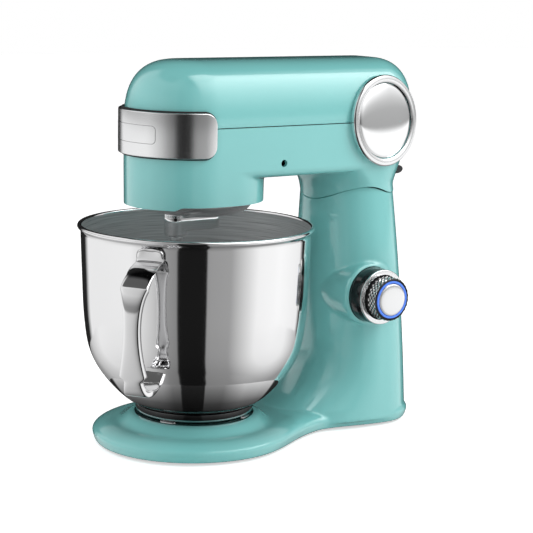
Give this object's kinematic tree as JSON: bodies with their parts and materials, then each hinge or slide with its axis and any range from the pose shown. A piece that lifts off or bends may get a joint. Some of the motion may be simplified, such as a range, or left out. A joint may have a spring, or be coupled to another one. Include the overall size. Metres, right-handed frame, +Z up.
{
  "type": "stand mixer",
  "caption": "Tilt-head stand mixer: hinged motor head with planetary drive and flat beater over a twist-lock steel bowl with a handle, on a cast column and base.",
  "frame": {"origin": "middle of the bounding box at the height of the feet", "axes": "+Z up, front of the mixer towards -Y, speed dial on the +X side"},
  "size_m": [0.2198, 0.3636, 0.3575],
  "materials": {
    "enamel": "glossy robin's-egg enamel",
    "black_plastic": "fine satin moulding",
    "rubber": "matt",
    "chrome": "mirror plating",
    "polished_steel": "polished outside, brushed inside",
    "steel": "machined",
    "cast_aluminium": "satin",
    "brass": "machined",
    "copper": "copper segments",
    "laminate": "circuit board",
    "nylon": "natural nylon",
    "light_ring": "translucent blue light guide"
  },
  "bodies": {
    "stand": {"base_casting": "enamel", "base_cover": "black_plastic", "rubber_foot_1": "rubber", "rubber_foot_2": "rubber", "rubber_foot_3": "rubber", "rubber_foot_4": "rubber", "rubber_foot_5": "rubber", "bowl_clamp_plate": "steel", "clamp_screw_1": "steel", "clamp_screw_2": "steel", "clamp_screw_3": "steel", "hinge_pin": "steel", "cord_gland": "rubber", "speed_control_board": "laminate", "speed_encoder": "nylon", "latch_strike": "steel", "dial_collar": "black_plastic", "dial_bezel": "chrome"},
    "dial": {"speed_dial": "black_plastic", "dial_light_ring": "light_ring", "dial_cap": "chrome"},
    "head": {"head_lower_housing": "enamel", "head_upper_cover": "enamel", "band_gasket": "rubber", "badge_ring_right": "chrome", "badge_dome_right": "chrome", "badge_ring_left": "chrome", "badge_dome_left": "chrome", "attachment_hub": "steel", "motor_stator": "steel", "motor_front_bracket": "cast_aluminium", "motor_rear_bracket": "cast_aluminium", "carbon_brush_right": "black_plastic", "carbon_brush_left": "black_plastic", "layshaft_bearing": "steel", "main_bearing": "steel", "ring_gear": "steel", "lever_pin": "steel"},
    "front_cover": {"hub_cover_band": "chrome"},
    "lever": {"release_lever": "black_plastic"},
    "rotor": {"rotor_core": "steel", "rotor_shaft": "steel", "commutator": "copper", "cooling_fan": "nylon", "motor_pinion": "steel"},
    "countershaft": {"layshaft": "steel", "reduction_gear": "brass", "bevel_pinion": "steel"},
    "planetary": {"main_shaft": "steel", "planet_carrier": "chrome", "drip_ring": "chrome", "crown_gear": "steel"},
    "beater": {"beater_shaft": "steel", "planet_gear": "steel", "beater_coupling": "steel", "flat_beater": "cast_aluminium"},
    "bowl": {"mixing_bowl": "polished_steel", "bowl_foot_ring": "chrome", "bowl_handle": "polished_steel"}
  },
  "joints": [
    {"name": "head_tilt", "type": "hinge", "parent": "stand", "child": "head", "pos_m": [0, 0.1568, 0.2255], "axis": [-1, 0, 0], "range_deg": [0, 45]},
    {"name": "dial_turn", "type": "hinge", "parent": "stand", "child": "dial", "pos_m": [0.08, 0.1118, 0.1335], "axis": [1, 0, 0], "range_deg": [0, 300]},
    {"name": "bowl_twist", "type": "hinge", "parent": "stand", "child": "bowl", "pos_m": [0, -0.0512, 0.03], "axis": [0, 0, 1], "range_deg": [0, 26]},
    {"name": "front_cover_pull", "type": "slide", "parent": "head", "child": "front_cover", "axis": [0, -1, 0], "range_m": [0, 0.04]},
    {"name": "lever_press", "type": "hinge", "parent": "head", "child": "lever", "pos_m": [0, 0.1548, 0.246], "axis": [-1, 0, 0], "range_deg": [0, 10], "stiffness_Nm_per_rad": 0.6, "springref_deg": -11.46},
    {"name": "planetary_spin", "type": "hinge", "parent": "head", "child": "planetary", "pos_m": [0, -0.0512, 0.23], "axis": [0, 0, 1], "continuous": true},
    {"name": "beater_spin", "type": "hinge", "parent": "planetary", "child": "beater", "pos_m": [0, -0.0737, 0.2], "axis": [0, 0, 1], "continuous": true},
    {"name": "countershaft_spin", "type": "hinge", "parent": "head", "child": "countershaft", "pos_m": [0, -0.0112, 0.294], "axis": [0, 1, 0], "continuous": true},
    {"name": "motor_spin", "type": "hinge", "parent": "head", "child": "rotor", "pos_m": [0, 0.0688, 0.314], "axis": [0, 1, 0], "continuous": true}
  ],
  "couplings": [
    {"joint": "beater_spin", "follows": "planetary_spin", "ratio": -2.8},
    {"joint": "countershaft_spin", "follows": "planetary_spin", "ratio": 3},
    {"joint": "motor_spin", "follows": "planetary_spin", "ratio": -9}
  ]
}
